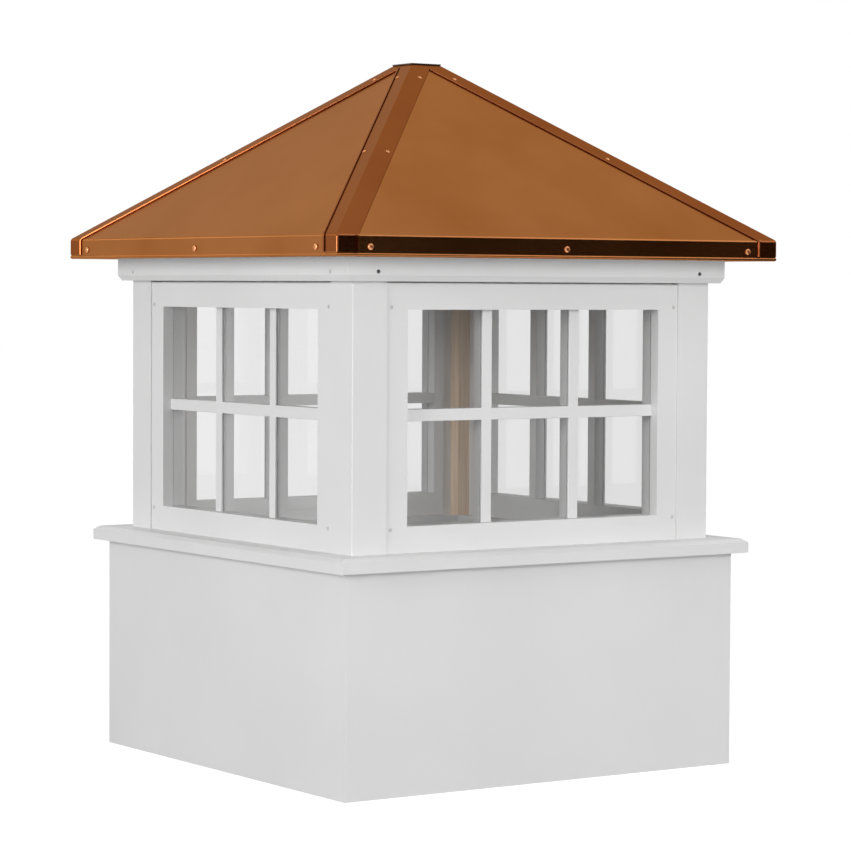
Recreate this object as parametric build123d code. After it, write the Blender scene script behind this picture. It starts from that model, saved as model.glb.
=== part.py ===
from build123d import *
import os
from math import atan, cos, sqrt

os.makedirs("parts", exist_ok=True)

# A square roof cupola, in millimetres: a plain base, a mitred sill, four windows between corner
# trims, a cornice and a hipped copper roof. Z is up, the front faces -Y, and the origin is the
# middle of the base's bottom edge.

# Base and sill
base_width = 762.0
base_height = 354.0
board = 19.0
sill_overhang = 20.5
sill_face = 17.5
sill_bevel_rise = 6.0
sill_bevel_run = 9.0

# Window section
window_width = 703.0
window_height = 468.5
trim_leg = 63.5
trim_ease = 1.5
panel_gap = 0.5
panel_recess = 2.0
panel_head_gap = 2.5
opening_width = 495.0
opening_height = 339.0
opening_rise = 41.5
glass_thickness = 3.0
glass_cover = 12.0
glass_clearance = 0.3
frame_thickness = 19.0
stop_width = 20.0
stop_thickness = 4.0

# Cornice and eave
cornice_drop = 44.0
cornice_bevel_run = 5.0
cornice_bevel_rise = 9.0
soffit_thickness = 12.0
eave_width = 860.0
lip_height = 33.0
hem_radius = 3.2
hem_reach = 1.0
fold_radius = 5.0

# Roof
roof_rise = 314.0
copper = 1.5
deck_thickness = 12.0
deck_seat = 2.5
hip_cap_width = 28.0
hip_cap_hem = 3.0
hip_cap_bend = 3.0
hip_cap_round = 1.0
hip_cap_gap = 0.5
hem_clearance = 1.0
cap_half = 29.5
cap_overhang = 1.0
cap_thickness = 2.0
cap_crown = 1.5

# Levels, from the ground up
sill_top = base_height + sill_face + sill_bevel_rise
opening_bottom = sill_top + opening_rise
opening_middle = opening_bottom + opening_height / 2
soffit_bottom = sill_top + window_height
soffit_top = soffit_bottom + soffit_thickness
cornice_foot = soffit_bottom - cornice_drop

# Distances from the upright axis
base_half = base_width / 2
sill_half = base_half + sill_overhang
window_half = window_width / 2
trim_inside = window_half - board
panel_half = window_half - trim_leg - panel_gap
panel_front = window_half - panel_recess
panel_back = panel_front - board
frame_back = panel_back - frame_thickness
eave_half = eave_width / 2
deck_half = eave_half - copper

# The roof's pitch, and the height of the fold where the slope turns down into the lip
slope = roof_rise / eave_half
pitch = atan(slope)
fold_height = soffit_top - slope * (copper + deck_seat) + (deck_thickness + copper) / cos(pitch)
lip_bottom = fold_height - lip_height
everything = 2 * (fold_height + roof_rise)

sides = ("front", "right", "back", "left")
corners = ("front_left", "front_right", "back_right", "back_left")


# Height of the roof's outer face at a distance from the axis, raised square to the slope.
def roof_height(distance, raised=0.0):
    return fold_height + roof_rise - slope * distance + raised / cos(pitch)


# Distance from the axis at which the roof's raised outer face reaches a height.
def roof_distance(height, raised=0.0):
    return (fold_height + roof_rise + raised / cos(pitch) - height) / slope


# Writes a front or front left piece four times, a quarter turn apart.
def save_around(piece, kind, places):
    for turn, place in enumerate(places):
        export_step(Rotation(0, 0, 90 * turn) * piece, f"parts/{kind}_{place}.step")


# A face in the Y-Z plane through the given (y, z) corners.
def section(*points):
    return Plane.YZ * make_face(Polyline(*points, close=True))


# An upright prism over the given (x, y) corners.
def prism(points, low, high):
    return Pos(0, 0, low) * extrude(make_face(Polyline(*points, close=True)), high - low)


# Runs a section along the front and mitres both ends at 45 degrees.
def mitred(outline):
    run = extrude(outline, everything, both=True)
    quarter = prism([(0, 0), (-everything, -everything), (everything, -everything)], -1, everything)
    return run & quarter


# A flat board across the front, between two distances from the axis.
def front_board(half_width, outside, inside, low, high):
    across = [(-half_width, -outside), (half_width, -outside), (half_width, -inside), (-half_width, -inside)]
    return prism(across, low, high)


# Rounds the corner of a flat outline that lies nearest to a point.
def round_corner(outline, point, radius):
    corner = outline.vertices().sort_by_distance((*point, 0))[0]
    return fillet(corner, radius)


def base_panel():
    inside = base_half - board
    return mitred(section((-base_half, 0), (-base_half, base_height), (-inside, base_height), (-inside, 0)))


# The sill lies flat on the base and reaches in far enough to carry the corner posts.
def sill():
    bevel_foot = sill_top - sill_bevel_rise
    return mitred(section(
        (-sill_half, base_height),
        (-sill_half, bevel_foot),
        (-sill_half + sill_bevel_run, sill_top),
        (-panel_half, sill_top),
        (-panel_half, base_height),
    ))


# Two boards' width at the corner, joined as one angle with an eased arris.
def corner_trim():
    far = window_half
    leg_end = window_half - trim_leg
    angle = prism(
        [
            (-far, -far),
            (-leg_end, -far),
            (-leg_end, -trim_inside),
            (-trim_inside, -trim_inside),
            (-trim_inside, -leg_end),
            (-far, -leg_end),
        ],
        sill_top,
        soffit_bottom,
    )
    arris = angle.edges().filter_by(Axis.Z).sort_by_distance((-far, -far, opening_middle))[0]
    return fillet(arris, trim_ease)


# The post fills the trim's inner corner and meets the window frames' edges.
def corner_post():
    corner = [
        (-trim_inside, -trim_inside),
        (-panel_half, -trim_inside),
        (-panel_half, -panel_half),
        (-trim_inside, -panel_half),
    ]
    return prism(corner, sill_top, soffit_bottom)


def window_opening(outside, inside):
    return front_board(opening_width / 2, outside, inside, opening_bottom, opening_bottom + opening_height)


# The outer panel, set back a little from the corner trims and stopped just under the cornice.
def window_panel():
    head = cornice_foot - panel_head_gap
    panel = front_board(panel_half, panel_front, panel_back, sill_top, head)
    return panel - window_opening(panel_front + 1, panel_back - 1)


# The inner frame, with a rabbet in its outer face that takes the glass and a raised stop
# round the opening on its inner face.
def window_frame():
    frame = front_board(panel_half, panel_back, frame_back, sill_top, soffit_bottom)
    stop = front_board(
        opening_width / 2 + stop_width,
        frame_back,
        frame_back - stop_thickness,
        opening_bottom - stop_width,
        opening_bottom + opening_height + stop_width,
    )
    pocket = front_board(
        opening_width / 2 + glass_cover,
        panel_back + 1,
        panel_back - glass_thickness,
        opening_bottom - glass_cover,
        opening_bottom + opening_height + glass_cover,
    )
    through = window_opening(panel_back + 1, frame_back - stop_thickness - 1)
    return frame + stop - through - pocket


def window_glass():
    edge = glass_cover - glass_clearance
    return front_board(
        opening_width / 2 + edge,
        panel_back,
        panel_back - glass_thickness,
        opening_bottom - edge,
        opening_bottom + opening_height + edge,
    )


# The cornice covers the heads of the trims and frames, up to the soffit.
def cornice():
    outside = window_half + board
    return mitred(section(
        (-window_half, cornice_foot),
        (-outside + cornice_bevel_run, cornice_foot),
        (-outside, cornice_foot + cornice_bevel_rise),
        (-outside, soffit_bottom),
        (-window_half, soffit_bottom),
    ))


# A square ring that closes the eave and carries the roof deck.
def soffit():
    ring = Rectangle(2 * deck_half, 2 * deck_half) - Rectangle(2 * panel_half, 2 * panel_half)
    return Pos(0, 0, soffit_bottom) * extrude(ring, soffit_thickness)


# The deck and the sheets are cut level under the roof cap, which lies on their ends.
cap_underside = roof_height(cap_half - cap_overhang, copper)


# One face of the wooden deck under the copper, flat at its foot and cut level near the peak.
def roof_deck():
    buried = -copper - deck_thickness
    eave_edge = (-deck_half, roof_height(deck_half, -copper))
    outline = make_face(Polyline(
        (-deck_half, soffit_top),
        eave_edge,
        (-roof_distance(cap_underside, -copper), cap_underside),
        (-roof_distance(cap_underside, buried), cap_underside),
        (-roof_distance(soffit_top, buried), soffit_top),
        close=True,
    ))
    return mitred(Plane.YZ * round_corner(outline, eave_edge, fold_radius - copper))


# A section through sheet that follows the lip and the slope, between two raised distances.
def roof_sheet(inner, outer, bottom):
    near = eave_half + inner
    far = eave_half + outer
    inner_fold = (-near, roof_height(near, inner))
    outer_fold = (-far, roof_height(far, outer))
    outline = make_face(Polyline(
        (-far, bottom),
        outer_fold,
        (-roof_distance(cap_underside, outer), cap_underside),
        (-roof_distance(cap_underside, inner), cap_underside),
        inner_fold,
        (-near, bottom),
        close=True,
    ))
    outline = round_corner(outline, outer_fold, fold_radius + outer)
    return Plane.YZ * round_corner(outline, inner_fold, fold_radius + inner)


# One face of the roof: the slope, folded down into the lip, and the lip rolled inwards into a hem
# that stands a little out of its face.
def roof_slope():
    hem_centre = eave_half + hem_reach - hem_radius
    hem = Plane.YZ * Pos(-hem_centre, lip_bottom + hem_radius) * Circle(hem_radius)
    return mitred(roof_sheet(-copper, 0, lip_bottom + hem_radius) + hem)


# One side of a hip cap, between two distances from the hip's line seen from above.
def hip_strip(near, far, thickness):
    foot = lip_bottom + 2 * hem_radius + hem_clearance
    sheet = extrude(roof_sheet(0, thickness, foot), everything, both=True)
    middle = hip_cap_gap / 2
    low = near * sqrt(2)
    high = far * sqrt(2)
    strip = [
        (-middle, -middle - low),
        (low - everything, -everything),
        (high - everything, -everything),
        (-middle, -middle - high),
    ]
    return sheet & prism(strip, -1, everything)


# The long edges of a hip cap that stay at one distance from the hip's line seen from above.
def long_edges(cap, beside):
    found = []
    for edge in cap.edges():
        away = [abs((edge @ share).X - (edge @ share).Y) / sqrt(2) for share in (0, 0.5, 1)]
        level = max(away) - beside < 0.01 and beside - min(away) < 0.01
        if level and edge.length > 2 * hip_cap_hem and not edge.is_interior:
            found.append(edge)
    return found


# The folded strip over a hip, from the roof cap down to just above the lip's hem. The bend is
# rounded, and the long edges are doubled back into narrow rounded hems.
def hip_cap():
    half = hip_strip(0, hip_cap_width, copper)
    half += hip_strip(hip_cap_width - hip_cap_hem, hip_cap_width, 2 * copper)
    cap = half + mirror(half, Plane(origin=(0, 0, 0), z_dir=(1, -1, 0)))
    cap = fillet(long_edges(cap, 0), hip_cap_bend)
    return fillet(long_edges(cap, hip_cap_width), hip_cap_round)


# The plate that closes the peak, slightly crowned so that it sheds water.
def roof_cap():
    rim = cap_underside + cap_thickness
    quarter = mitred(section(
        (0, cap_underside),
        (-cap_half, cap_underside),
        (-cap_half, rim),
        (0, rim + cap_crown),
    ))
    turned = [Rotation(0, 0, 90 * turn) * quarter for turn in range(4)]
    return (turned[0] + turned[1:]).clean()


save_around(base_panel(), "base_panel", sides)
save_around(sill(), "sill", sides)
save_around(corner_trim(), "corner_trim", corners)
save_around(corner_post(), "corner_post", corners)
save_around(window_panel(), "window_panel", sides)
save_around(window_frame(), "window_frame", sides)
save_around(window_glass(), "window_glass", sides)
save_around(cornice(), "cornice", sides)
export_step(soffit(), "parts/soffit.step")
save_around(roof_deck(), "roof_deck", sides)
save_around(roof_slope(), "roof_slope", sides)
save_around(hip_cap(), "hip_cap", corners)
export_step(roof_cap(), "parts/roof_cap.step")
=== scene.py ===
import bpy
import math
from mathutils import Euler, Matrix, Vector


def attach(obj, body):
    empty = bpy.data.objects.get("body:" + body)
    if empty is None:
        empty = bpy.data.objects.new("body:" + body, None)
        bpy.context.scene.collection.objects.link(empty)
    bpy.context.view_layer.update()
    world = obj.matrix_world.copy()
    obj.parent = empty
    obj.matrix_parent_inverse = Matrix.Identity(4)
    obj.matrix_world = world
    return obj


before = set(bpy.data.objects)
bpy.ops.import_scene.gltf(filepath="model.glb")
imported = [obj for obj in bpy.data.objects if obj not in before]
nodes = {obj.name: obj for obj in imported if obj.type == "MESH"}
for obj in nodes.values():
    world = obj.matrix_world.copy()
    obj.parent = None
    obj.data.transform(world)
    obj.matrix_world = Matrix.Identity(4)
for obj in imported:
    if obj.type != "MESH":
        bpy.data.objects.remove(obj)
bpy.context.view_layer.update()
sides = ["front", "right", "back", "left"]
corners = ["front_left", "front_right", "back_right", "back_left"]
print("frame loaded:", len(nodes), "nodes")

mm = 0.001


def colour(hexCode):
    # sRGB hex to the linear colour that the shader wants
    channels = [int(hexCode[i:i + 2], 16) / 255 for i in (1, 3, 5)]
    linear = [c / 12.92 if c <= 0.04045 else ((c + 0.055) / 1.055) ** 2.4 for c in channels]
    return (*linear, 1.0)


def addNode(owner, kind, values=None, links=None, **settings):
    # the owner is a material or the world
    node = owner.node_tree.nodes.new(kind)
    for key, value in settings.items():
        setattr(node, key, value)
    for key, value in (values or {}).items():
        node.inputs[key].default_value = value
    for key, socket in (links or {}).items():
        owner.node_tree.links.new(socket, node.inputs[key])
    return node


def addNoise(owner, place, perMetre, **values):
    noise = addNode(owner, "ShaderNodeTexNoise", {"Scale": perMetre, **values}, {"Vector": place})
    return noise.outputs["Fac"]


def addTones(owner, pattern, tones):
    # a colour ramp between two tones, each a place on the pattern and a hex colour
    ramp = addNode(owner, "ShaderNodeValToRGB", links={"Fac": pattern})
    for element, (place, hexCode) in zip(ramp.color_ramp.elements, tones):
        element.position = place
        element.color = colour(hexCode)
    return ramp.outputs["Color"]


def addRange(owner, pattern, low, high):
    spread = addNode(owner, "ShaderNodeMapRange", {"To Min": low, "To Max": high},
                     {"Value": pattern})
    return spread.outputs["Result"]


def addBump(owner, pattern, strength, depth):
    bump = addNode(owner, "ShaderNodeBump", {"Strength": strength, "Distance": depth},
                   {"Height": pattern})
    return bump.outputs["Normal"]


def eitherOf(owner, one, other):
    # 1 where one of two ray tests is 1
    larger = addNode(owner, "ShaderNodeMath", links={0: one, 1: other}, operation="MAXIMUM")
    return larger.outputs[0]


def mixOf(owner, share, first, second):
    # the first shader at 0, the second at 1
    return addNode(owner, "ShaderNodeMixShader",
                   links={0: share, 1: first.outputs[0], 2: second.outputs[0]})


def newMaterial(name):
    material = bpy.data.materials.new(name)
    material.use_nodes = True
    material.node_tree.nodes.clear()
    return material


def finishMaterial(material, shader):
    addNode(material, "ShaderNodeOutputMaterial", links={"Surface": shader.outputs[0]})
    return material


def finishSurface(material, values, links):
    return finishMaterial(material, addNode(material, "ShaderNodeBsdfPrincipled", values, links))


pvc = {
    "tones": [(0.3, "#dcdcdc"), (0.7, "#e2e2e2")], "roughness": (0.38, 0.48), "ior": 1.5,
    "cloud": 300 * mm, "skin": 2.5 * mm, "skinDepth": 0.2 * mm, "skinStrength": 0.08,
}


def makeCellularPvc():
    # Extruded cellular PVC trim board: even white with a soft low sheen, a slight cloudiness in
    # the tone, and a faint orange-peel skin. The skin's real size is under 1 mm, drawn at 2.5 mm
    # to show.
    material = newMaterial("cellular_pvc")
    place = addNode(material, "ShaderNodeTexCoord").outputs["Object"]
    cloud = addNoise(material, place, 1 / pvc["cloud"], Detail=3.0, Roughness=0.5)
    skin = addNoise(material, place, 1 / pvc["skin"], Detail=2.0)
    return finishSurface(material, {"IOR": pvc["ior"]}, {
        "Base Color": addTones(material, cloud, pvc["tones"]),
        "Roughness": addRange(material, cloud, *pvc["roughness"]),
        "Normal": addBump(material, skin, pvc["skinStrength"], pvc["skinDepth"]),
    })


copper = {
    "spread": (0.3, 0.72), "cloudsPerMetre": 4.0, "roughnessSpread": (-0.03, 0.05),
    "marksPerMetre": (40.0, 40.0, 330.0), "markDepth": 0.2 * mm, "markStrength": 0.06,
    "edgeTint": "#ddc5b4",
}


def makeCopper(name, light, dark, roughness):
    # New cold-rolled copper sheet: warm brown-orange metal with a satin mill finish that keeps its
    # colour at a low angle. The rolling marks are finer than a pixel, so they are drawn 3 mm wide,
    # and the tarnish is in soft clouds.
    material = newMaterial(name)
    place = addNode(material, "ShaderNodeTexCoord").outputs["Object"]
    cloud = addNoise(material, place, copper["cloudsPerMetre"], Detail=4.0, Roughness=0.55)
    stretch = addNode(material, "ShaderNodeMapping", {"Scale": copper["marksPerMetre"]},
                      {"Vector": place})
    marks = addNoise(material, stretch.outputs["Vector"], 1.0, Detail=2.0)
    tones = list(zip(copper["spread"], (dark, light)))
    polished, dull = [roughness + change for change in copper["roughnessSpread"]]
    return finishSurface(material, {"Metallic": 1.0, "Specular Tint": colour(copper["edgeTint"])}, {
        "Base Color": addTones(material, cloud, tones),
        "Roughness": addRange(material, cloud, polished, dull),
        "Normal": addBump(material, marks, copper["markStrength"], copper["markDepth"]),
    })


wood = {
    "spread": (0.32, 0.68), "lengthToWidth": 22, "lineDepth": 0.4 * mm, "lineStrength": 0.25,
    "ior": 1.45,
}


def makeWood(name, light, dark, grain, stretchAlong, roughness):
    # Bare wood with no finish: matt, with long grain lines and a slow change of tone between them.
    # The lines run along one axis and are many times longer than they are wide.
    material = newMaterial(name)
    place = addNode(material, "ShaderNodeTexCoord").outputs["Object"]
    scale = [1 / grain, 1 / grain, 1 / grain]
    scale[stretchAlong] = 1 / (grain * wood["lengthToWidth"])
    stretch = addNode(material, "ShaderNodeMapping", {"Scale": scale}, {"Vector": place})
    lines = addNoise(material, stretch.outputs["Vector"], 1.0, Detail=5.0, Roughness=0.6,
                     Distortion=0.3)
    tones = list(zip(wood["spread"], (dark, light)))
    return finishSurface(material, {"Roughness": roughness, "IOR": wood["ior"]}, {
        "Base Color": addTones(material, lines, tones),
        "Normal": addBump(material, lines, wood["lineStrength"], wood["lineDepth"]),
    })


glazing = {
    "tint": "#f4f4f4", "letThrough": "#f4f4f4", "ior": 1.49, "roughness": 0.0,
    "wavesPerMetre": 9.0, "waveDepth": 0.3 * mm, "waveStrength": 0.02,
}


def makeGlazing():
    # Clear cast acrylic sheet: smooth, see-through, slightly grey where the light passes both
    # faces. Lamp light and soft light pass straight through, so the room behind it is lit.
    material = newMaterial("clear_acrylic")
    place = addNode(material, "ShaderNodeTexCoord").outputs["Object"]
    wave = addNoise(material, place, glazing["wavesPerMetre"], Detail=1.0)
    bump = addBump(material, wave, glazing["waveStrength"], glazing["waveDepth"])
    values = {"Base Color": colour(glazing["tint"]), "Roughness": glazing["roughness"],
              "IOR": glazing["ior"], "Transmission Weight": 1.0}
    sheet = addNode(material, "ShaderNodeBsdfPrincipled", values, {"Normal": bump})
    clear = addNode(material, "ShaderNodeBsdfTransparent", {"Color": colour(glazing["letThrough"])})
    ray = addNode(material, "ShaderNodeLightPath").outputs
    passes = eitherOf(material, ray["Is Shadow Ray"], ray["Is Diffuse Ray"])
    return finishMaterial(material, mixOf(material, passes, sheet, clear))


paintedScrew = {
    "tones": [(0.35, "#bdbdbd"), (0.65, "#cccccc")], "patchesPerMetre": 500.0,
    "roughness": 0.3, "ior": 1.5,
}
bareScrew = {
    "tones": [(0.3, "#5f666d"), (0.7, "#8b9298")], "patchesPerMetre": 600.0, "roughness": 0.38,
}


def makePaintedSteel():
    # Steel screw with a baked white coat: even, a little greyer than the board, with more sheen.
    material = newMaterial("white_coated_steel")
    place = addNode(material, "ShaderNodeTexCoord").outputs["Object"]
    cloud = addNoise(material, place, paintedScrew["patchesPerMetre"], Detail=1.0)
    values = {"Roughness": paintedScrew["roughness"], "IOR": paintedScrew["ior"]}
    tone = addTones(material, cloud, paintedScrew["tones"])
    return finishSurface(material, values, {"Base Color": tone})


def makeScrewSteel():
    # Zinc-plated steel screw: grey, a little rough, darker in patches.
    material = newMaterial("zinc_plated_steel")
    place = addNode(material, "ShaderNodeTexCoord").outputs["Object"]
    cloud = addNoise(material, place, bareScrew["patchesPerMetre"], Detail=2.0)
    values = {"Metallic": 1.0, "Roughness": bareScrew["roughness"]}
    tone = addTones(material, cloud, bareScrew["tones"])
    return finishSurface(material, values, {"Base Color": tone})


cellularPvc = makeCellularPvc()
rolledCopper = makeCopper("rolled_copper", "#a66c41", "#985f35", 0.22)
foldedCopper = makeCopper("folded_copper", "#8f5430", "#804729", 0.20)
screwCopper = makeCopper("bright_copper", "#e0a276", "#d28f60", 0.26)
# the cap at the top is a darker, greyer brown copper than the slopes and the hip caps
capCopper = makeCopper("dark_cap_copper", "#6d5b4c", "#574840", 0.32)
sawnPine = makeWood("sawn_pine", "#efdac3", "#dcc2a6", 5 * mm, 2, 0.75)
plywood = makeWood("plywood", "#b98f62", "#9c744a", 8 * mm, 0, 0.7)
clearAcrylic = makeGlazing()
screwSteel = makeScrewSteel()
paintedSteel = makePaintedSteel()
print("materials made")

nodeFinishes = {
    "corner_post": sawnPine,
    "window_glass": clearAcrylic,
    "roof_deck": plywood,
    "roof_slope": rolledCopper,
    "hip_cap": foldedCopper,
    "roof_cap": capCopper,
}
for name, node in nodes.items():
    kinds = [kind for kind in nodeFinishes if name.startswith(kind)]
    finish = nodeFinishes[kinds[0]] if kinds else cellularPvc
    for slot in node.material_slots:
        slot.material = finish
print("nodes finished")


def deselect():
    if bpy.context.object and bpy.context.object.mode == "EDIT":
        bpy.ops.object.mode_set(mode="OBJECT")
    bpy.ops.object.select_all(action="DESELECT")


def pickFaces(piece, test):
    # leaves edit mode on, with only the faces picked whose centre and normal pass the test
    bpy.ops.object.mode_set(mode="EDIT")
    bpy.ops.mesh.select_mode(type="FACE")
    bpy.ops.mesh.select_all(action="DESELECT")
    bpy.ops.object.mode_set(mode="OBJECT")
    for face in piece.data.polygons:
        face.select = test(face.center, face.normal)
    bpy.ops.object.mode_set(mode="EDIT")


def applyModifier(piece, kind, **settings):
    modifier = piece.modifiers.new(kind.title(), kind)
    for key, value in settings.items():
        setattr(modifier, key, value)
    bpy.ops.object.modifier_apply(modifier=modifier.name)


def settle(piece, name, material):
    piece.name = name
    piece.data.name = name
    piece.data.materials.clear()
    piece.data.materials.append(material)
    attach(piece, "root")


def copyOf(piece, place):
    twin = piece.copy()
    twin.data = piece.data.copy()
    twin.data.transform(place)
    bpy.context.scene.collection.objects.link(twin)
    return twin


def quarterTurn(turn):
    return Matrix.Rotation(math.radians(90 * turn), 4, "Z")


def allAround(piece, kind, places, material):
    # the front piece goes to all four sides or corners, each copy with its own mesh
    for turn, place in reversed(list(enumerate(places))):
        made = copyOf(piece, quarterTurn(turn))
        settle(made, f"{kind}_{place}", material)
    bpy.data.objects.remove(piece)


bars = {
    "width": 495 * mm, "height": 339 * mm, "bottom": 419 * mm,
    "bar": 19 * mm, "columns": [-86 * mm, 86 * mm], "row": 173 * mm,  # the row is above the bottom
    "outerFace": -334.5 * mm, "outerBack": -330.5 * mm,
    "innerFace": -327.5 * mm, "innerBack": -308.5 * mm,
    "ease": 0.8 * mm, "easeSegments": 2,
}


def makeBars(face, back):
    # a flat grid is cut from a sheet, then given its thickness and eased edges
    deselect()
    low = bars["bottom"]
    middle = low + bars["height"] / 2
    bpy.ops.mesh.primitive_plane_add(size=1, location=(0, face, middle),
                                     rotation=(math.pi / 2, 0, 0))
    piece = bpy.context.object
    piece.scale = (bars["width"], bars["height"], 1)
    bpy.ops.object.transform_apply(location=True, rotation=True, scale=True)
    half = bars["bar"] / 2
    cuts = [((x + side * half, 0, 0), (1, 0, 0)) for x in bars["columns"] for side in (-1, 1)]
    cuts += [((0, 0, low + bars["row"] + side * half), (0, 0, 1)) for side in (-1, 1)]
    bpy.ops.object.mode_set(mode="EDIT")
    for point, normal in cuts:
        bpy.ops.mesh.select_all(action="SELECT")
        bpy.ops.mesh.bisect(plane_co=point, plane_no=normal)
    bpy.ops.object.mode_set(mode="OBJECT")

    def inPane(centre, normal):
        onColumn = any(abs(centre.x - x) < half for x in bars["columns"])
        onRow = abs(centre.z - low - bars["row"]) < half
        return not onColumn and not onRow

    pickFaces(piece, inPane)
    bpy.ops.mesh.delete(type="FACE")
    bpy.ops.object.mode_set(mode="OBJECT")
    applyModifier(piece, "SOLIDIFY", thickness=abs(back - face), offset=-1)
    applyModifier(piece, "BEVEL", width=bars["ease"], segments=bars["easeSegments"],
                  limit_method="ANGLE")
    return piece


outerBars = makeBars(bars["outerFace"], bars["outerBack"])
allAround(outerBars, "window_bars_outer", sides, cellularPvc)
innerBars = makeBars(bars["innerFace"], bars["innerBack"])
allAround(innerBars, "window_bars_inner", sides, cellularPvc)
print("window bars made")


def startHead(shape, radius, height):
    # A low drum standing on the ground, its top drawn in and raised step by step. Each step is a
    # share of the radius and a share of the height. Leaves edit mode on with the top face picked.
    deselect()
    rim = height * shape["rim"]
    bpy.ops.mesh.primitive_cylinder_add(vertices=shape["sides"], radius=radius, depth=rim,
                                        location=(0, 0, rim / 2))
    piece = bpy.context.object
    bpy.ops.object.transform_apply(location=True, rotation=True, scale=True)
    pickFaces(piece, lambda centre, normal: normal.z > 0.9)
    for share, lift in shape["steps"]:
        bpy.ops.mesh.inset(thickness=radius * share, depth=height * lift)
    return piece


def endHead(shape):
    bpy.ops.object.mode_set(mode="OBJECT")
    bpy.ops.object.shade_smooth_by_angle(angle=math.radians(shape["smoothBelow"]))


screwHead = {
    "sides": 20, "rim": 0.5, "steps": [(0.12, 0.28), (0.22, 0.17), (0.22, 0.05)],
    "driveEdge": 0.12, "driveTaper": 0.55, "smoothBelow": 35,  # degrees
}


def makeScrewHead(radius, height, recess):
    # a pan head with a round drive recess that narrows towards its floor
    piece = startHead(screwHead, radius, height)
    taper = screwHead["driveTaper"]
    bpy.ops.mesh.inset(thickness=radius * screwHead["driveEdge"], depth=0)
    bpy.ops.mesh.extrude_region_move(TRANSFORM_OT_translate={"value": (0, 0, -recess)})
    bpy.ops.transform.resize(value=(taper, taper, 1), center_override=(0, 0, height))
    endHead(screwHead)
    return piece


def facing(point, normal, spin=0.0):
    # stands a head made on the ground at a point, facing along the normal and turned by the spin
    turn = Vector(normal).to_track_quat("Z", "Y").to_matrix().to_4x4()
    return Matrix.Translation(Vector(point)) @ turn @ Matrix.Rotation(spin, 4, "Z")


def headRow(template, places):
    # one piece from copies of a head at all the places
    deselect()
    made = [copyOf(template, place) for place in places]
    for copy in made:
        copy.select_set(True)
    bpy.context.view_layer.objects.active = made[0]
    bpy.ops.object.join()
    bpy.data.objects.remove(template)
    return bpy.context.object


front = (0, -1, 0)
smallHead = {"radius": 3.2 * mm, "height": 1.2 * mm, "recess": 1.0 * mm}
largeHead = {"radius": 5.0 * mm, "height": 2.8 * mm, "recess": 1.8 * mm}
panelScrews = {"x": 279 * mm, "levels": [415 * mm, 762 * mm], "face": -349.5 * mm}
corniceScrews = {"x": 317 * mm, "level": 817 * mm, "face": -370.5 * mm}
lipScrews = {"x": [-370 * mm, 0, 370 * mm], "level": 854 * mm, "face": -430 * mm}

# the place of a panel or lip screw also sets its spin, so that neighbours aren't turned alike
spots = [facing((side * panelScrews["x"], panelScrews["face"], level), front, level)
         for side in (-1, 1) for level in panelScrews["levels"]]
row = headRow(makeScrewHead(**smallHead), spots)
allAround(row, "panel_screws", sides, paintedSteel)

spots = [facing((side * corniceScrews["x"], corniceScrews["face"], corniceScrews["level"]), front)
         for side in (-1, 1)]
row = headRow(makeScrewHead(**smallHead), spots)
allAround(row, "cornice_screws", sides, paintedSteel)
bareScrews = bpy.data.objects["cornice_screws_front"]  # the only ones that show bare metal
bareScrews.material_slots[0].material = screwSteel

spots = [facing((x, lipScrews["face"], lipScrews["level"]), front, x) for x in lipScrews["x"]]
row = headRow(makeScrewHead(**largeHead), spots)
allAround(row, "lip_screws", sides, screwCopper)
print("screws made")

roof = {"peak": 1185.8 * mm, "slope": 0.7302, "sheet": 1.5 * mm}
capRivets = {
    "radius": 3.4 * mm, "height": 1.6 * mm,
    "offset": 19 * mm,  # in plan, square to the line of the hip
    "distances": [246 * mm, 62 * mm],  # in plan, from the upright axis and square to the side
}
rivetHead = {
    "sides": 16, "rim": 0.3, "steps": [(0.2, 0.4), (0.3, 0.25)],
    "dimpleEdge": 0.15, "dimpleDepth": 0.45, "smoothBelow": 40,  # degrees
}


def makeRivetHead(radius, height):
    # a domed blind rivet with the dimple that its pin leaves
    piece = startHead(rivetHead, radius, height)
    bpy.ops.mesh.inset(thickness=radius * rivetHead["dimpleEdge"],
                       depth=-height * rivetHead["dimpleDepth"])
    endHead(rivetHead)
    return piece


def rivetPlaces():
    # pairs of rivets, one on each leg of the cap over the front left hip
    tilt = math.atan(roof["slope"])
    normal = Vector((0, -math.sin(tilt), math.cos(tilt)))
    along = capRivets["offset"] * math.sqrt(2)
    places = []
    for distance in capRivets["distances"]:
        height = roof["peak"] - roof["slope"] * distance + roof["sheet"] / math.cos(tilt)
        onFront = facing((-distance + along, -distance, height), normal)
        onLeft = facing((-distance, -distance + along, height), (normal.y, 0, normal.z))
        places += [onFront, onLeft]
    return places


row = headRow(makeRivetHead(capRivets["radius"], capRivets["height"]), rivetPlaces())
allAround(row, "cap_rivets", corners, screwCopper)
print("rivets made")

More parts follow.
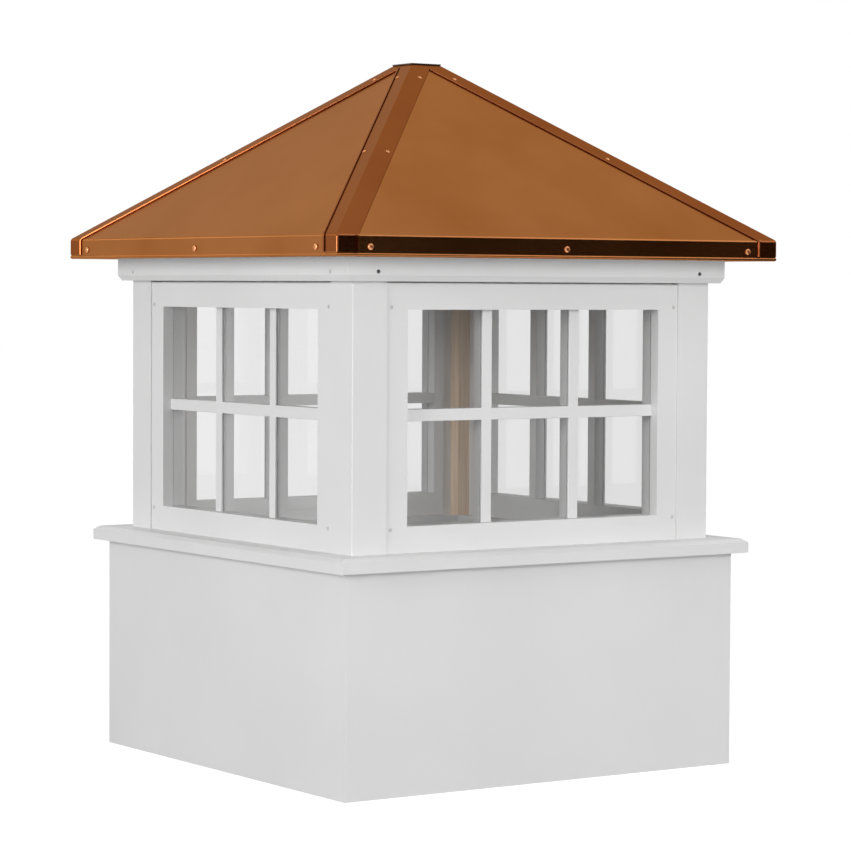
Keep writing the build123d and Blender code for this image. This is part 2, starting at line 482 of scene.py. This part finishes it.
plainWhite = "#ffffff"
cardBlack = "#020203"
studio = {
    "floor": "#9a9a9a", "floorGlow": 0.87, "floorSize": 60, "zenith": 0.50, "horizon": 0.35,
    "lampSize": 1.8, "lampAim": (0, 0, 0.7), "cardAim": (0, 0, 0.86),
}
lamps = [
    {"place": (-4.53, -1.21, 1.40), "power": 119.0, "mirrored": True},
    # the copper doesn't mirror this one, so that its front lip stays dark
    {"place": (0.45, -4.65, 1.35), "power": 102.0, "mirrored": False},
]
cards = {
    "dark_card": {
        "place": (2.8, -4.2, 0.9), "size": (5.0, 5.0), "strength": 1.0,
        "tones": [(0.15, "#5c4c40"), (0.52, cardBlack)],
    },
    "bright_card_0": {
        "place": (2.68, -2.67, 3.2), "size": (2.2, 2.6), "strength": 2.0,
        "tones": [(0.0, plainWhite), (1.0, plainWhite)],
    },
    "bright_card_1": {
        "place": (-2.2, 4.1, 2.4), "size": (1.0, 0.8), "strength": 3.0,
        "tones": [(0.0, plainWhite), (1.0, plainWhite)],
    },
    # lies just over the floor, turned by so many degrees, and hides it from what mirrors it
    "dark_floor_card": {
        "place": (3.08, -1.545, 0.01), "size": (3.3, 3.6), "strength": 1.0, "turn": 28.4,
        "tones": [(0.0, plainWhite), (0.07, cardBlack)],
    },
}


def makeFloor():
    # Matt with a glow where it is seen or mirrored, so it shows white and keeps the shadow. It is
    # plain white through the glass, and only matt for the light that it sends back.
    deselect()
    bpy.ops.mesh.primitive_plane_add(size=studio["floorSize"], location=(0, 0, 0))
    floor = bpy.context.object
    floor.name = "floor"
    material = newMaterial("pale_floor")
    ray = addNode(material, "ShaderNodeLightPath").outputs
    matt = addNode(material, "ShaderNodeBsdfDiffuse", {"Color": colour(studio["floor"])})
    glow = addNode(material, "ShaderNodeEmission", {"Strength": studio["floorGlow"]})
    both = addNode(material, "ShaderNodeAddShader", links={0: matt.outputs[0], 1: glow.outputs[0]})
    seen = eitherOf(material, ray["Is Camera Ray"], ray["Is Glossy Ray"])
    shown = mixOf(material, seen, matt, both)
    white = addNode(material, "ShaderNodeEmission", {"Strength": 1.0})
    finishMaterial(material, mixOf(material, ray["Is Transmission Ray"], shown, white))
    floor.data.materials.append(material)


def makeWorld():
    # white where it is seen, mirrored or seen through the glass, and for the object's shading a
    # soft light that is a little stronger from overhead
    world = bpy.data.worlds.new("studio")
    bpy.context.scene.world = world
    world.use_nodes = True
    world.node_tree.nodes.clear()
    ray = addNode(world, "ShaderNodeLightPath").outputs
    seen = eitherOf(world, ray["Is Camera Ray"], ray["Is Glossy Ray"])
    anySeen = eitherOf(world, seen, ray["Is Transmission Ray"])
    sky = addNode(world, "ShaderNodeTexCoord").outputs["Generated"]
    height = addNode(world, "ShaderNodeSeparateXYZ", links={0: sky}).outputs["Z"]
    level = addRange(world, height, studio["horizon"], studio["zenith"])
    soft = addNode(world, "ShaderNodeBackground", {"Color": colour(plainWhite)},
                   {"Strength": level})
    white = addNode(world, "ShaderNodeBackground", {"Color": colour(plainWhite), "Strength": 1.0})
    shader = mixOf(world, anySeen, soft, white)
    addNode(world, "ShaderNodeOutputWorld", links={"Surface": shader.outputs[0]})


def makeLamp(place, power, mirrored):
    deselect()
    bpy.ops.object.light_add(type="AREA", location=place)
    lamp = bpy.context.object
    lamp.data.size = studio["lampSize"]
    lamp.data.energy = power
    lamp.visible_glossy = mirrored
    towards = Vector(studio["lampAim"]) - Vector(place)
    lamp.rotation_euler = towards.to_track_quat("-Z", "Y").to_euler()


def makeCard(name, place, size, strength, tones, turn=None):
    # a card out of sight that only shows where the metal mirrors it, shaded across its width
    deselect()
    bpy.ops.mesh.primitive_plane_add(size=1, location=place)
    card = bpy.context.object
    card.name = name
    card.scale = (*size, 1)
    if turn is None:
        towards = Vector(studio["cardAim"]) - Vector(place)
        card.rotation_euler = towards.to_track_quat("Z", "Y").to_euler()
    else:
        card.rotation_euler = (0, 0, math.radians(turn))
    material = newMaterial(name)
    spot = addNode(material, "ShaderNodeTexCoord").outputs["Generated"]
    across = addNode(material, "ShaderNodeSeparateXYZ", links={0: spot}).outputs["X"]
    fade = addTones(material, across, tones)
    shader = addNode(material, "ShaderNodeEmission", {"Strength": strength}, {"Color": fade})
    finishMaterial(material, shader)
    card.data.materials.append(material)
    card.visible_camera = False
    card.visible_diffuse = False
    card.visible_transmission = False
    card.visible_shadow = False


# where the photo was taken from, with its angles in radians and its lens in millimetres
photoCamera = {
    "place": (-2.9575, -4.4200, 0.7932), "turn": 0.5931, "pitch": -0.0433, "roll": 0.0052,
    "lens": 132.6, "sensor": 36,
}


def makeCamera():
    data = bpy.data.cameras.new("camera")
    camera = bpy.data.objects.new("camera", data)
    bpy.context.scene.collection.objects.link(camera)
    camera.location = photoCamera["place"]
    aim = Euler((math.pi / 2 + photoCamera["pitch"], 0, -photoCamera["turn"])).to_matrix()
    camera.rotation_euler = (aim @ Matrix.Rotation(photoCamera["roll"], 3, "Z")).to_euler()
    data.lens = photoCamera["lens"]
    data.sensor_width = photoCamera["sensor"]
    bpy.context.scene.camera = camera


makeFloor()
makeWorld()
for lamp in lamps:
    makeLamp(**lamp)
for name, card in cards.items():
    makeCard(name, **card)
makeCamera()
bpy.context.scene.view_settings.view_transform = "Standard"
print("studio ready")
